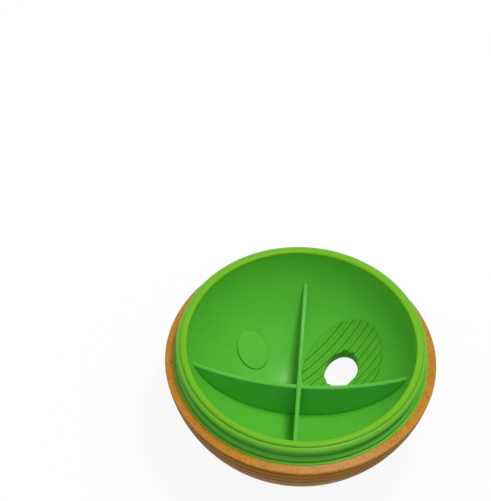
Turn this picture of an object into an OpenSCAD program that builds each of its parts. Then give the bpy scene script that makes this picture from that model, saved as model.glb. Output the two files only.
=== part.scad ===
// Treat ball, opened for filling: a wood-fibre shell with a divided cup, and the half that snaps over it.
// The origin is the middle of the flat foot, with +Z up through the ball's axis and the front towards -Y.

/* [Shell] */
// Diameter of the ball
ball_d = 161.8; // [150:0.2:175]
// Height of the ball's middle above the land that the cup's flange sits on
mid_rise = 11.75; // [11:0.25:12.5]
// Width of the land outside the flange
land_w = 5; // [4.5:0.1:6]
// Fall of the land from the flange to its outer edge
land_fall = 1.2; // [0.6:0.1:1.6]
// Round on the outer edge of a land
land_edge_r = 0.8; // [0.4:0.1:1]
// Diameter of the flat foot
foot_d = 36; // [30:1:36]
// Number of turned grooves round each shell, next to its land
groove_n = 3; // [1:1:4]
// Spacing of the grooves in height
groove_pitch = 5.6; // [4:0.1:7]
// Distance of the first groove from the land's outer edge
groove_start = 2.4; // [2.2:0.1:4]
// Radius of a groove's round section
groove_r = 0.8; // [0.5:0.1:1]

/* [Cup] */
// Height of the collar above the land
collar_h = 15.1; // [14.6:0.1:16]
// Thickness of the collar
collar_t = 4.2; // [3.8:0.1:4.8]
// Width of the flange outside the collar
flange_w = 3.4; // [3:0.1:3.8]
// Thickness of the flange
flange_t = 1; // [0.8:0.1:1.2]
// Round on the upper edge of the flange
flange_edge_r = 0.4; // [0.2:0.1:0.6]
// Round on the inner edge of the rim
rim_in_r = 1.4; // [0.8:0.1:1.8]
// Round on the outer edge of the rim
rim_out_r = 1.4; // [0.8:0.1:1.8]
// Thickness of the cup's round bowl
floor_t = 3.6; // [3:0.1:4]

/* [Ridges] */
// Height of the snap ridge's middle above the land
snap_ridge_z = 11; // [10.8:0.1:11.4]
// Height of the guide ridge's middle above the land
guide_ridge_z = 2.5; // [2.4:0.1:2.8]
// Radius of a ridge's round section
ridge_r = 2.3; // [2.1:0.1:2.3]
// How far the ridges stand out of the collar
ridge_out = 2.2; // [1.9:0.1:2.2]

/* [Dividers] */
// Turn of the cross about the ball's axis
cross_turn = -1.2; // [-10:0.2:10]
// Thickness of the divider plates
divider_t = 2.6; // [2:0.1:3.2]
// Bevel on the top edges of the dividers
divider_bevel = 0.6; // [0.3:0.1:0.8]
// Depth below the rim of the dividers' top edge at the crossing
divider_drop = 42.2; // [38:0.2:46]
// Depth below the rim of that edge where it meets the bowl
divider_end_drop = 25.6; // [22:0.2:28]

/* [Floor pad] */
// Distance of the pad from the long divider
pad_x = 28.9; // [26:0.1:32]
// Distance of the pad from the cross divider
pad_y = 31.7; // [28:0.1:34]
// Diameter of the pad
pad_d = 18.6; // [14:0.2:20]
// Step of the pad on its downhill side
pad_step = 1; // [0.6:0.1:1.4]
// Step of the pad on its uphill side
pad_rise = 0.2; // [0.1:0.1:0.5]

/* [Outlet] */
// Distance of the outlet from the long divider
outlet_x = 24.6; // [23:0.1:26]
// Distance of the outlet from the cross divider
outlet_y = 25.9; // [25:0.1:28]
// Diameter of the outlet
outlet_d = 20; // [16:0.5:20]
// Wall of the sleeve round the outlet
sleeve_t = 2.2; // [1.6:0.1:2.4]
// Length of the sleeve, square to the floor
sleeve_l = 4.8; // [4.2:0.1:6]
// Thickness of the insert's ribbed disc
insert_t = 1.4; // [1:0.1:1.7]
// Spacing of the ribs
rib_pitch = 4.4; // [4:0.1:6]
// Radius of a rib's round section
rib_r = 1.3; // [0.9:0.1:1.6]
// Direction of the ribs, from the cross divider
rib_turn = 39; // [20:1:60]

/* [Upper half] */
// Space between the two halves as they stand side by side
set_gap = 58.2; // [20:0.2:80]
// Wall of the liner round the collar's socket
socket_t = 2; // [1.6:0.1:2.4]
// Height of the snap bead's middle above the land
bead_z = 8.2; // [7.8:0.1:8.3]
// Radius of the snap bead's round section
bead_r = 1.2; // [0.9:0.1:1.3]

/* [Fits] */
// Bonding gap between a shell and its green lining
bond_gap = 0.2; // [0.1:0.05:0.3]
// Gap under and round the pieces that are set in the cup
seat_gap = 0.15; // [0.1:0.05:0.25]
// Gap between the insert and the nearest divider
insert_gap = 0.4; // [0.3:0.1:1]
// Gap round the sleeve in the shell's hole
mouth_gap = 4.8; // [4:0.1:5]
// Radial clearance of the socket over the ridges and the collar
socket_gap = 0.4; // [0.3:0.05:0.6]
// Clearance of the socket over the flange and the rim
crown_gap = 0.5; // [0.3:0.1:0.8]

/* [Hidden] */
$fn = 96;
wood = "peru";
green = "limegreen";
far = 2 * ball_d;
// Excess radius of a round's cutter, so that it meets both sides of the edge cleanly
round_bite = 0.005;

// Third side of a right triangle, from its longest side and another one
function leg(long, other) = sqrt(pow(long, 2) - pow(other, 2));

// Ball: two concentric spheres, cut at the foot and at the land
ball_r = ball_d / 2;
ball_z = leg(ball_r, foot_d / 2);
land_z = ball_z - mid_rise;

// Levels and radii of the cup
flange_r = leg(ball_r, mid_rise + land_fall) - land_w;
collar_r = flange_r - flange_w;
rim_z = land_z + collar_h;
bowl_r = collar_r - collar_t;
rim_in = leg(bowl_r, rim_z - ball_z);
floor_z = ball_z - bowl_r;

// Dividers: their top edge is an arc between its two ends on the bowl
divider_z = rim_z - divider_drop;
divider_end_z = rim_z - divider_end_drop;
divider_end = leg(bowl_r, ball_z - divider_end_z);
divider_sag = divider_end_z - divider_z;
divider_r = (pow(divider_end, 2) + pow(divider_sag, 2)) / (2 * divider_sag);
lap_z = (floor_z + divider_z) / 2;

// Outlet and its insert
outlet_r = outlet_d / 2;
sleeve_r = outlet_r + sleeve_t;
insert_r = min(outlet_x, outlet_y) - divider_t / 2 - insert_gap;
rib_mid = outlet_y * cos(rib_turn) - outlet_x * sin(rib_turn);
rib_n = floor(insert_r / rib_pitch);

// Floor pad: a flat face between the tops of its uphill and downhill steps
pad_away = norm([pad_x, pad_y]);
pad_high = ball_z - leg(bowl_r, pad_away + pad_d / 2) + pad_rise;
pad_low = ball_z - leg(bowl_r, pad_away - pad_d / 2) + pad_step;
pad_tilt = atan2(pad_high - pad_low, pad_d);

// Upper half, drawn with its land at z = 0 and its dome up
socket_r = collar_r + ridge_out + socket_gap;
neck_r = collar_r + socket_gap;
mouth_z = flange_t + crown_gap;
neck_z = snap_ridge_z + ridge_r + crown_gap;
ledge_z = collar_h + crown_gap;

// Right half of a disc in section
module half_disc(r, z) {
    intersection() {
        translate([0, z]) circle(r);
        translate([0, z - r]) square([r, 2 * r]);
    }
}

// What a round of radius r about a middle takes off an edge, between the two ends of the round
module edge_waste(edge, middle, ends, r) {
    difference() {
        polygon([middle, ends[0], 2 * edge - middle, ends[1]]);
        translate(middle) circle(r + round_bite);
    }
}

// The same for the square upper edge of a step
module step_waste(edge, r) {
    middle = edge - [r, r];
    edge_waste(edge, middle, [middle + [0, r], middle + [r, 0]], r);
}

// Section of a shell upwards from its land, for a ball whose middle is at a given height above the land
module shell_section(mid, fall, height) {
    edge = [leg(ball_r, fall - mid), fall];
    inward = [flange_r, 0] - edge;
    along = inward / norm(inward);
    // Round on the edge: an arc that touches the land and the ball
    from = edge + land_edge_r * [along[1], -along[0]] - [0, mid];
    lag = from * along;
    step = -lag - sqrt(pow(lag, 2) - from * from + pow(ball_r - land_edge_r, 2));
    away = from + step * along;
    ends = [edge + step * along, [0, mid] + away * ball_r / (ball_r - land_edge_r)];
    difference() {
        intersection() {
            half_disc(ball_r, mid);
            polygon([[0, 0], [flange_r, 0], edge - land_w * along, [far, height], [0, height]]);
        }
        edge_waste(edge, [0, mid] + away, ends, land_edge_r);
        for (i = [0 : groove_n - 1]) {
            z = fall + groove_start + i * groove_pitch;
            translate([leg(ball_r, z - mid), z]) circle(groove_r);
        }
    }
}

// Places what belongs to the cross in its turned position
module in_cross() {
    rotate(cross_turn) children();
}

// Upright rod on the outlet's axis, from under the foot to the level of the ball's middle
module outlet_rod(r) {
    translate([outlet_x, outlet_y, -floor_t]) cylinder(h = floor_t + ball_z, r = r);
}

// Ball round the middle of the bowl, with its poles at the front and rear, clear of the pieces cut from it
module bowl_ball(r) {
    translate([0, 0, ball_z]) rotate([90, 0, 0]) sphere(r);
}

module lower_shell() {
    color(wood) difference() {
        rotate_extrude() difference() {
            translate([0, land_z]) mirror([0, 1]) shell_section(-mid_rise, land_fall, land_z);
            half_disc(bowl_r + floor_t + bond_gap, ball_z);
        }
        in_cross() outlet_rod(sleeve_r + mouth_gap);
    }
}

module inner_cup() {
    color(green) difference() {
        union() {
            rotate_extrude() cup_section();
            in_cross() floor_pad();
        }
        in_cross() {
            insert_seat();
            outlet_rod(sleeve_r + seat_gap);
        }
    }
}

// Section of the cup: round bowl, collar with its two level ridges, and flange
module cup_section() {
    round_z = rim_z - rim_in_r;
    round_x = leg(bowl_r + rim_in_r, round_z - ball_z);
    touch = bowl_r / (bowl_r + rim_in_r);
    ends = [[round_x, rim_z], [round_x * touch, ball_z + (round_z - ball_z) * touch]];
    difference() {
        union() {
            intersection() {
                half_disc(bowl_r + floor_t, ball_z);
                square([collar_r, rim_z]);
            }
            translate([0, land_z]) square([collar_r, collar_h]);
            translate([0, land_z]) square([flange_r, flange_t]);
            for (level = [snap_ridge_z, guide_ridge_z])
                translate([collar_r + ridge_out - ridge_r, land_z + level]) circle(ridge_r);
        }
        half_disc(bowl_r, ball_z);
        edge_waste([rim_in, rim_z], [round_x, round_z], ends, rim_in_r);
        step_waste([collar_r, rim_z], rim_out_r);
        step_waste([flange_r, land_z + flange_t], flange_edge_r);
    }
}

// Low round pad on the floor, with a flat top that leans with the floor
module floor_pad() {
    turn = atan2(pad_y, -pad_x);
    intersection() {
        translate([-pad_x, pad_y, 0]) cylinder(h = ball_z, d = pad_d);
        rotate(turn)
            translate([pad_away + pad_d / 2, 0, pad_high])
                rotate([0, -pad_tilt, 0])
                    translate([-far / 2, -far / 2, -far]) cube(far);
        bowl_ball(bowl_r + floor_t / 2);
    }
}

// Round step in the floor that the insert's disc lies in
module insert_seat() {
    intersection() {
        outlet_rod(insert_r + seat_gap);
        bowl_ball(bowl_r + insert_t);
    }
}

module outlet_insert() {
    color(green) in_cross() difference() {
        union() {
            intersection() {
                outlet_rod(insert_r);
                ribbed_bowl();
            }
            intersection() {
                outlet_rod(sleeve_r);
                difference() {
                    bowl_ball(bowl_r + sleeve_l);
                    bowl_ball(bowl_r);
                }
            }
        }
        outlet_rod(outlet_r);
    }
}

// Layer of the bowl with half-round ribs, turned about a level axis through the ball's middle
module ribbed_bowl() {
    translate([0, 0, ball_z]) rotate(rib_turn) rotate([-90, 0, 0]) rotate_extrude() {
        difference() {
            half_disc(bowl_r + insert_t - seat_gap, 0);
            half_disc(bowl_r, 0);
        }
        for (i = [-rib_n : rib_n - 1]) {
            place = rib_mid + (i + 0.5) * rib_pitch;
            translate([leg(bowl_r, place), place]) circle(rib_r);
        }
    }
}

// Section of a divider across its top edge, which lies at the radius of the edge's sweep
module divider_section() {
    side = divider_t / 2;
    top = side - divider_bevel;
    shoulder = divider_r + divider_bevel;
    deep = divider_r + bowl_r;
    polygon([[divider_r, -top], [shoulder, -side], [deep, -side], [deep, side], [shoulder, side], [divider_r, top]]);
}

// Upright crescent plate along X, with its middle plane on the axis
module divider_plate() {
    intersection() {
        bowl_ball(bowl_r - seat_gap);
        translate([0, 0, divider_z + divider_r]) rotate([90, 0, 0]) rotate_extrude() divider_section();
    }
}

// Slot at the crossing, from a given level upwards
module lap_slot(level) {
    width = divider_t + 2 * seat_gap;
    translate([-width / 2, -width / 2, level]) cube([width, width, ball_r]);
}

module divider_long() {
    color(green) in_cross() difference() {
        rotate(90) divider_plate();
        lap_slot(lap_z - ball_r);
    }
}

module divider_cross() {
    color(green) in_cross() difference() {
        divider_plate();
        lap_slot(lap_z - seat_gap);
    }
}

// Moves the upper half from the ball's axis to where it is set down
module set_down() {
    translate([ball_d + set_gap, 0, 0]) children();
}

module upper_shell() {
    color(wood) set_down() rotate_extrude() difference() {
        shell_section(mid_rise, 0, far);
        liner_outside(bond_gap);
    }
}

// Section of the liner's outside, grown by a gap
module liner_outside(gap) {
    grow = socket_t + gap;
    translate([0, -gap]) square([socket_r + grow, neck_z + grow + gap]);
    square([neck_r + grow, ledge_z + grow]);
    intersection() {
        half_disc(bowl_r + floor_t + gap, mid_rise);
        translate([0, ledge_z]) square([ball_r, far]);
    }
}

// Section of the recess for the flange, of the socket and of the round space above it
module liner_inside() {
    translate([0, -mouth_z]) square([ball_r, 2 * mouth_z]);
    square([socket_r, neck_z]);
    square([neck_r, ledge_z]);
    half_disc(bowl_r, mid_rise);
}

module upper_liner() {
    color(green) set_down() rotate_extrude() {
        difference() {
            liner_outside(0);
            liner_inside();
        }
        difference() {
            translate([socket_r, bead_z]) circle(bead_r);
            translate([socket_r + socket_t / 2, 0]) square([socket_t, ledge_z]);
        }
    }
}

lower_shell();
inner_cup();
outlet_insert();
divider_long();
divider_cross();
upper_shell();
upper_liner();
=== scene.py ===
import math

import bpy
from mathutils import Color, Matrix, Vector


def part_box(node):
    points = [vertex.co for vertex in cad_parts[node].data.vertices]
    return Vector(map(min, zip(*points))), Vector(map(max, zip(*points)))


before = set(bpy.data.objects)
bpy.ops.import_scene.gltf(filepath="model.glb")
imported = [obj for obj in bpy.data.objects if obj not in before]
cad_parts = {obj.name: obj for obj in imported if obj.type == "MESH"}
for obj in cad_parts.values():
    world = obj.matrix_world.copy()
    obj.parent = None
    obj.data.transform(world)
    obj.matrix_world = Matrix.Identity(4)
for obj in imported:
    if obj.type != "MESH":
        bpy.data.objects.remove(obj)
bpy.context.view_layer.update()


# Lower shell: the brown half that holds the cup, moulded from wood fibre and resin.
# The moulding leaves cloudy grain, short fibres and dark bark specks in a dull skin; the land is polished.
# The grooves below the land are turned, so their edges are crisp; their edges are lightened, as wear and as
# a painted highlight, and their roots are darkened with painted shade.
def tone(red, green, blue):
    """Colour as the eye sees it, from 0 to 255, in the linear values that a shader takes."""
    seen = Color((red / 255, green / 255, blue / 255))
    return (*seen.from_srgb_to_scene_linear(), 1.0)


def feed(tree, node, inputs):
    """Gives a node's inputs plain values or the outputs of other nodes."""
    for name, value in inputs.items():
        if isinstance(value, bpy.types.NodeSocket):
            tree.links.new(value, node.inputs[name])
        else:
            node.inputs[name].default_value = value


def place(tree, kind, inputs=None, **settings):
    """Adds a node with its settings and inputs."""
    node = tree.nodes.new(kind)
    for name, value in settings.items():
        setattr(node, name, value)
    feed(tree, node, inputs or {})
    return node


def maths(tree, operation, first, second):
    """Puts out the result of one sum on values or outputs."""
    return place(tree, "ShaderNodeMath", {0: first, 1: second}, operation=operation).outputs[0]


def spread(tree, value, band, onto=(0.0, 1.0)):
    """Stretches a band of values smoothly over another range."""
    inputs = {"Value": value, "From Min": band[0], "From Max": band[1], "To Min": onto[0], "To Max": onto[1]}
    return place(tree, "ShaderNodeMapRange", inputs, interpolation_type="SMOOTHSTEP").outputs["Result"]


def mixed(tree, amount, first, second):
    """Puts out a mix of two colours, whose sockets on the node are 6 and 7 in and 2 out."""
    return place(tree, "ShaderNodeMix", {0: amount, 6: first, 7: second}, data_type="RGBA").outputs[2]


def laid_over(tree, base, mask, share, colour):
    """Lays a colour over the base where a mask says, up to a share of it."""
    return mixed(tree, maths(tree, "MULTIPLY", mask, share), base, colour)


def noise(tree, spot, size, put_out="Fac", **texture):
    """Puts out noise whose lumps are about the given size in metres."""
    return place(tree, "ShaderNodeTexNoise", {"Vector": spot, "Scale": 1 / size, **texture}).outputs[put_out]


def openness(tree, width, inside=False):
    """How open the space next to a surface is, within a width outside the piece or inside it."""
    near = place(tree, "ShaderNodeAmbientOcclusion", {"Distance": width}, inside=inside, only_local=True)
    return near.outputs["AO"]


def new_group(name, inputs, outputs):
    """Starts a shader group; inputs and outputs map each socket's label to its kind."""
    group = bpy.data.node_groups.new(name, "ShaderNodeTree")
    for side, sockets in (("INPUT", inputs), ("OUTPUT", outputs)):
        for label, kind in sockets.items():
            group.interface.new_socket(label, in_out=side, socket_type=f"NodeSocket{kind}")
    return group, place(group, "NodeGroupInput").outputs


def use_group(tree, group, values):
    """Places a group in a material with its own values."""
    return place(tree, "ShaderNodeGroup", values, node_tree=group).outputs


def spot_on(tree, shift):
    """Place on the piece in metres, moved so that no two pieces show the same pattern."""
    spot = place(tree, "ShaderNodeTexCoord").outputs["Object"]
    return place(tree, "ShaderNodeVectorMath", {0: spot, 1: shift}, operation="ADD").outputs[0]


def fibre_grain_group():
    """Cloudy wood-fibre grain: two sets of crossing fibres, fine flour and scattered bark specks."""
    group, given = new_group(
        "fibre grain",
        {"Shift": "Vector", "Light": "Color", "Dark": "Color", "Speck": "Color"},
        {"Color": "Color", "Height": "Float", "Roughness": "Float"},
    )
    spot = spot_on(group, given["Shift"])

    cloud_size = 0.009
    cloud_share = 0.25
    flour_size = 0.0012
    grain_band = (0.36, 0.64)
    cloud = noise(group, spot, cloud_size, Detail=3)
    flour = noise(group, spot, flour_size, Detail=4, Roughness=0.65)
    cloud_part = maths(group, "MULTIPLY", cloud, cloud_share)
    flour_part = maths(group, "MULTIPLY", flour, 1 - cloud_share)
    lightness = spread(group, maths(group, "ADD", cloud_part, flour_part), grain_band)
    grain = mixed(group, lightness, given["Dark"], given["Light"])

    fibre_length = 0.006
    fibre_width = 0.0006
    fibre_turns = (0.5, 2.1)
    fibre_band = (0.56, 0.7)
    fibre_share = 0.28
    stretch = (1 / fibre_length, 1 / fibre_width, 1 / fibre_width)
    strands = []
    for turn in fibre_turns:
        lie = (turn / 2, turn / 3, turn)
        along = place(group, "ShaderNodeMapping", {"Vector": spot, "Rotation": lie, "Scale": stretch})
        strand = noise(group, along.outputs[0], 1.0, Detail=1, Distortion=0.4)
        strands.append(spread(group, strand, fibre_band))
    fibres = maths(group, "ADD", *strands)
    strewn = laid_over(group, grain, fibres, fibre_share, given["Light"])

    speck_spacing = 0.0028
    speck_bend = speck_spacing / 4
    speck_chance = (0.35, 1.0)
    speck_reach = (0.0, 0.3)
    speck_blur = (0.0, 0.09)
    speck_share = 0.6
    wander = noise(group, spot, flour_size, put_out="Color", Detail=1)
    bend = place(group, "ShaderNodeVectorMath", {0: wander, "Scale": speck_bend}, operation="SCALE")
    bent = place(group, "ShaderNodeVectorMath", {0: spot, 1: bend.outputs[0]}, operation="ADD")
    cells = place(group, "ShaderNodeTexVoronoi", {"Vector": bent.outputs[0], "Scale": 1 / speck_spacing})
    chance = place(group, "ShaderNodeSeparateColor", {"Color": cells.outputs["Color"]}).outputs["Red"]
    reach = spread(group, chance, speck_chance, speck_reach)
    specks = spread(group, maths(group, "SUBTRACT", reach, cells.outputs["Distance"]), speck_blur)
    speckled = laid_over(group, strewn, specks, speck_share, given["Speck"])

    fibre_relief = 0.6
    flour_band = (0.3, 0.7)
    dull_range = (0.42, 0.58)
    raised = maths(group, "MULTIPLY", fibres, fibre_relief)
    pitted = maths(group, "SUBTRACT", flour, specks)
    place(group, "NodeGroupOutput", {
        "Color": speckled,
        "Height": maths(group, "ADD", raised, pitted),
        "Roughness": spread(group, flour, flour_band, dull_range),
    })
    return group


def worn_lit_edge_group():
    """Mask of the edges that stand out, in patches, where handling wears the finish and a painted highlight
    lightens it.
    """
    group, given = new_group("worn and lit edge", {"Shift": "Vector", "Width": "Float"}, {"Mask": "Float"})
    edge_band = (0.95, 0.55)
    patch_size = 0.006
    patch_band = (0.3, 0.6)
    patch_range = (0.6, 1.0)
    edge = spread(group, openness(group, given["Width"], inside=True), edge_band)
    patch_noise = noise(group, spot_on(group, given["Shift"]), patch_size)
    patches = spread(group, patch_noise, patch_band, patch_range)
    place(group, "NodeGroupOutput", {"Mask": maths(group, "MULTIPLY", edge, patches)})
    return group


def painted_corner_shade_group():
    """Mask of the roots of grooves and corners, where painted shade darkens the colour."""
    group, given = new_group("painted corner shade", {"Width": "Float"}, {"Mask": "Float"})
    corner_band = (0.97, 0.5)
    place(group, "NodeGroupOutput", {"Mask": spread(group, openness(group, given["Width"]), corner_band)})
    return group


def above_group():
    """Mask of what lies above a height on the piece, with a soft lower edge."""
    group, given = new_group("above", {"Height": "Float", "Blend": "Float"}, {"Mask": "Float"})
    spot = place(group, "ShaderNodeTexCoord").outputs["Object"]
    height = place(group, "ShaderNodeSeparateXYZ", {0: spot}).outputs["Z"]
    full_height = maths(group, "ADD", given["Height"], given["Blend"])
    place(group, "NodeGroupOutput", {"Mask": spread(group, height, (given["Height"], full_height))})
    return group


fibre_grain = fibre_grain_group()
worn_lit_edge = worn_lit_edge_group()
painted_corner_shade = painted_corner_shade_group()
above = above_group()


def new_material(name):
    """Starts a material, and gives it with its node tree and its Principled shader."""
    material = bpy.data.materials.new(name)
    material.use_nodes = True
    return material, material.node_tree, material.node_tree.nodes["Principled BSDF"]


wood_light = tone(200, 138, 34)
wood_dark = tone(174, 109, 14)
bark_brown = tone(126, 64, 14)
# Edges are lightened towards this tone, partly as wear and partly as a painted highlight.
worn_lit_wood = tone(214, 162, 84)
wood_edge_width = 0.0012
wood_edge_share = 0.35
# Painted shade: the roots of the grooves and corners are darkened towards this brown.
groove_shade_brown = tone(96, 58, 18)
groove_shade_width = 0.002
groove_shade_share = 0.6
grain_bump = 0.35
grain_depth = 0.0001
wood_specular = 0.08
polish_blend = 0.0006
polish_weight = 0.32
polish_roughness = 0.38


def wood_fibre(name, shift=(0.0, 0.0, 0.0), polished_from=None):
    """Dull wood fibre with edges lightened as wear and as a painted highlight, and groove roots darkened
    with painted shade, polished above a height if one is given.
    """
    material, tree, skin = new_material(name)
    browns = {"Light": wood_light, "Dark": wood_dark, "Speck": bark_brown}
    grain = use_group(tree, fibre_grain, {"Shift": shift, **browns})
    edge = use_group(tree, worn_lit_edge, {"Shift": shift, "Width": wood_edge_width})["Mask"]
    corner_shade = use_group(tree, painted_corner_shade, {"Width": groove_shade_width})["Mask"]
    worn_lit = laid_over(tree, grain["Color"], edge, wood_edge_share, worn_lit_wood)
    relief = {"Height": grain["Height"], "Strength": grain_bump, "Distance": grain_depth}
    feed(tree, skin, {
        "Base Color": laid_over(tree, worn_lit, corner_shade, groove_shade_share, groove_shade_brown),
        "Roughness": grain["Roughness"],
        "Normal": place(tree, "ShaderNodeBump", relief).outputs[0],
        "Specular IOR Level": wood_specular,
    })
    if polished_from:
        polish = use_group(tree, above, {"Height": polished_from, "Blend": polish_blend})["Mask"]
        feed(tree, skin, {
            "Coat Weight": maths(tree, "MULTIPLY", polish, polish_weight),
            "Coat Roughness": polish_roughness,
        })
    return material


def top_of(node):
    """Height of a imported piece's highest point."""
    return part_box(node)[1].z


def finish_node(node, material):
    """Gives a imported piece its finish."""
    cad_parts[node].material_slots[0].material = material


land_depth = 0.0021
land_start = top_of("lower_shell") - land_depth
finish_node("lower_shell", wood_fibre("lower shell wood fibre", polished_from=land_start))


# Inner cup: the green cup that is bonded into the lower shell, injection-moulded in one piece.
# The plastic has a fine mould texture and faint flow clouds; its rim, which is thin, is painted yellower
# than the bowl, a painted highlight of the direct light on it, and its corners and collar valleys are
# darkened with painted shade.
def mould_skin_group():
    """Skin of moulded plastic: fine texture of the mould, faint flow clouds and worn gloss."""
    group, given = new_group(
        "mould skin", {"Shift": "Vector"}, {"Height": "Float", "Roughness": "Float", "Cloud": "Float"})
    texture_size = 0.0005
    gloss_size = 0.012
    flow_size = 0.045
    noise_band = (0.3, 0.7)
    satin_range = (0.3, 0.42)
    spot = spot_on(group, given["Shift"])
    worn = noise(group, spot, gloss_size, Detail=4, Roughness=0.6)
    flow = noise(group, spot, flow_size, Distortion=0.8)
    place(group, "NodeGroupOutput", {
        "Height": noise(group, spot, texture_size),
        "Roughness": spread(group, worn, noise_band, satin_range),
        "Cloud": spread(group, flow, noise_band),
    })
    return group


mould_skin = mould_skin_group()

cup_green = (95, 192, 56)
flow_lift = 5
# Painted highlight: the edges that stand out are lightened towards this paler green.
lit_edge_green = (128, 196, 40)
plastic_lit_edge_width = 0.0025
# Painted highlight: the rim is painted this yellower green where direct light falls on it.
lit_rim_green = (106, 177, 18)
rim_blend = 0.003
# Painted shade: corners and the roots of ribs are darkened towards this green.
root_shade_green = (40, 124, 34)
root_shade_width = 0.004
mould_bump = 0.15
mould_depth = 0.00005


def green_plastic(name, shift=(0.0, 0.0, 0.0), green=cup_green, gloss=0.2, edge=lit_edge_green, edge_share=0.2,
                  rim_from=None, root_shade_share=None):
    """Satin green plastic whose edges carry a tone of their own, partly wear and partly painted highlight; a
    rim is painted yellower as a painted highlight, and roots of ribs are darkened with painted shade.
    """
    material, tree, skin = new_material(name)
    mould = use_group(tree, mould_skin, {"Shift": shift})
    flow_green = [channel + flow_lift for channel in green]
    colour = mixed(tree, mould["Cloud"], tone(*green), tone(*flow_green))
    if rim_from:
        rim = use_group(tree, above, {"Height": rim_from, "Blend": rim_blend})["Mask"]
        colour = mixed(tree, rim, colour, tone(*lit_rim_green))
    if root_shade_share:
        corner_shade = use_group(tree, painted_corner_shade, {"Width": root_shade_width})["Mask"]
        colour = laid_over(tree, colour, corner_shade, root_shade_share, tone(*root_shade_green))
    worn_lit = use_group(tree, worn_lit_edge, {"Shift": shift, "Width": plastic_lit_edge_width})["Mask"]
    relief = {"Height": mould["Height"], "Strength": mould_bump, "Distance": mould_depth}
    feed(tree, skin, {
        "Base Color": laid_over(tree, colour, worn_lit, edge_share, tone(*edge)),
        "Roughness": mould["Roughness"],
        "Normal": place(tree, "ShaderNodeBump", relief).outputs[0],
        "Specular IOR Level": gloss,
    })
    return material


rim_depth = 0.0042
rim_start = top_of("inner_cup") - rim_depth
finish_node("inner_cup", green_plastic(
    "cup green plastic", edge_share=0.5, rim_from=rim_start, root_shade_share=0.45))


# Outlet insert: the ribbed disc with a sleeve that lines the outlet, moulded in the cup's plastic
# and pressed flush into the cup's floor.
# The roots of its ribs carry a little painted shade.
finish_node("outlet_insert", green_plastic(
    "insert green plastic", shift=(0.31, 0.17, 0.05), gloss=0.06, root_shade_share=0.15))


# Dividers: two crescent plates of green plastic, halved together at the crossing and set in the cup.
# Their faces are painted a little bluer than the cup as a painted cool shade, and their thin top edges,
# which the lamp lights, are painted nearer to its own green.
divider_shade_green = (106, 192, 94)
divider_lit_green = (92, 182, 44)
divider_shifts = {"divider_long": (0.53, 0.29, 0.11), "divider_cross": (0.73, 0.29, 0.11)}
for divider, divider_shift in divider_shifts.items():
    finish_node(divider, green_plastic(
        f"{divider} green plastic", divider_shift, green=divider_shade_green, edge=divider_lit_green, edge_share=0.9))


# Upper shell: the other brown half, taken off and set down with its dome up.
# It is moulded from the same wood fibre, with the same turned grooves next to its land.
finish_node("upper_shell", wood_fibre("upper shell wood fibre", shift=(0.42, 0.23, 0.37)))


# Upper liner: the green lining of that half, moulded in the cup's plastic and bonded into its shell.
# Its socket and its snap bead close over the ridges of the cup's collar.
finish_node("upper_liner", green_plastic("liner green plastic", shift=(0.13, 0.71, 0.19)))


# Table: a plain white sheet that the halves stand on. The camera sees it white, with a faint soft shadow
# where the halves keep the light off, and it throws only a little light back up at them.
def seen_ray(tree):
    """One for rays seen straight, in gloss or through glass, and nought for the rest."""
    path = place(tree, "ShaderNodeLightPath").outputs
    passed_on = maths(tree, "MAXIMUM", path["Is Glossy Ray"], path["Is Transmission Ray"])
    return maths(tree, "MAXIMUM", path["Is Camera Ray"], passed_on)


def mixed_shader(tree, amount, first, second):
    """Puts out a mix of two shaders."""
    return place(tree, "ShaderNodeMixShader", {0: amount, 1: first, 2: second}).outputs[0]


table_half = 6.0
table_drop = 0.0002
table_sides = ((-1, -1), (1, -1), (1, 1), (-1, 1))
table_corners = [(x * table_half, y * table_half, -table_drop) for x, y in table_sides]
table_mesh = bpy.data.meshes.new("table")
table_mesh.from_pydata(table_corners, [], [(0, 1, 2, 3)])
table = bpy.data.objects.new("table", table_mesh)
bpy.context.scene.collection.objects.link(table)

white = tone(255, 255, 255)
white_glow = 1.0
white_share = 0.91
shadow_white = tone(250, 250, 250)
back_grey = tone(140, 140, 140)
paper = bpy.data.materials.new("white paper")
paper.use_nodes = True
sheet = paper.node_tree
sheet.nodes.clear()
back_light = place(sheet, "ShaderNodeBsdfDiffuse", {"Color": back_grey}).outputs[0]
shadow_side = place(sheet, "ShaderNodeBsdfDiffuse", {"Color": shadow_white}).outputs[0]
glow = place(sheet, "ShaderNodeEmission", {"Color": white, "Strength": white_glow}).outputs[0]
seen_sheet = mixed_shader(sheet, white_share, shadow_side, glow)
sheet_surface = mixed_shader(sheet, seen_ray(sheet), back_light, seen_sheet)
place(sheet, "ShaderNodeOutputMaterial", {"Surface": sheet_surface})
table_mesh.materials.append(paper)


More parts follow.
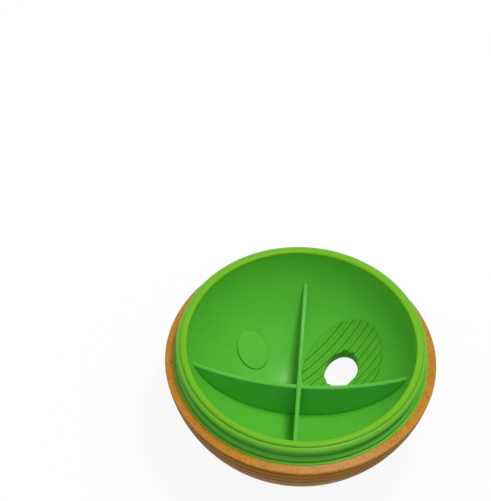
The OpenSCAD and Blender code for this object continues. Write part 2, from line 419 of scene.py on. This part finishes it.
# Light: a white room with one soft lamp high above the right side of the object,
# which leaves the dividers' faces and the steep walls of the cup in gentle shade.
room_tint = tone(242, 246, 255)
room_glow = 0.57
world = bpy.data.worlds.new("white room")
world.use_nodes = True
room = world.node_tree
room.nodes.clear()
dim_room = place(room, "ShaderNodeBackground", {"Color": room_tint, "Strength": room_glow}).outputs[0]
bright_room = place(room, "ShaderNodeBackground", {"Color": white, "Strength": white_glow}).outputs[0]
room_surface = mixed_shader(room, seen_ray(room), dim_room, bright_room)
place(room, "ShaderNodeOutputWorld", {"Surface": room_surface})
bpy.context.scene.world = world

lamp_aim = Vector((0.05, 0.0, 0.05))
lamp_away = 1.9
lamp_azimuth = math.radians(86)
lamp_height = math.radians(81)
lamp_data = bpy.data.lights.new("soft lamp", "AREA")
lamp_data.shape = "DISK"
lamp_data.size = 0.45
lamp_data.energy = 20.5
lamp = bpy.data.objects.new("soft lamp", lamp_data)
lamp_side = Vector((math.sin(lamp_azimuth), math.cos(lamp_azimuth), 0)) * math.cos(lamp_height)
lamp.location = lamp_aim + lamp_away * (lamp_side + Vector((0, 0, math.sin(lamp_height))))
lamp.rotation_euler = (lamp.location - lamp_aim).to_track_quat("Z", "Y").to_euler()
bpy.context.scene.collection.objects.link(lamp)


# Camera: at the photograph's viewing angle, far off with a long lens, for a picture of 491 by 501 pixels.
# Its eye is set from the middle of the land: back along the view, then to the side and up in the picture.
photo_long_side = 501
focal_pixels = 4406.4
sensor = 36.0
view_height = math.radians(53.418)
view_roll = math.radians(3.019)
view_away = 2.5867
eye_side = -0.03248
eye_lift = 0.06407
land_middle = Vector((0, 0, 0.0671))
ahead = Vector((0, math.cos(view_height), -math.sin(view_height)))
level = Vector((1, 0, 0))
upright = level.cross(ahead)
picture_right = math.cos(view_roll) * level + math.sin(view_roll) * upright
picture_up = -math.sin(view_roll) * level + math.cos(view_roll) * upright
lens_data = bpy.data.cameras.new("camera")
lens_data.sensor_width = sensor
lens_data.lens = sensor * focal_pixels / photo_long_side
camera = bpy.data.objects.new("camera", lens_data)
eye = land_middle - view_away * ahead + eye_side * picture_right + eye_lift * picture_up
camera_turn = Matrix((picture_right, picture_up, -ahead)).transposed().to_4x4()
camera.matrix_world = Matrix.Translation(eye) @ camera_turn
bpy.context.scene.collection.objects.link(camera)
bpy.context.scene.camera = camera
bpy.context.scene.view_settings.view_transform = "Standard"
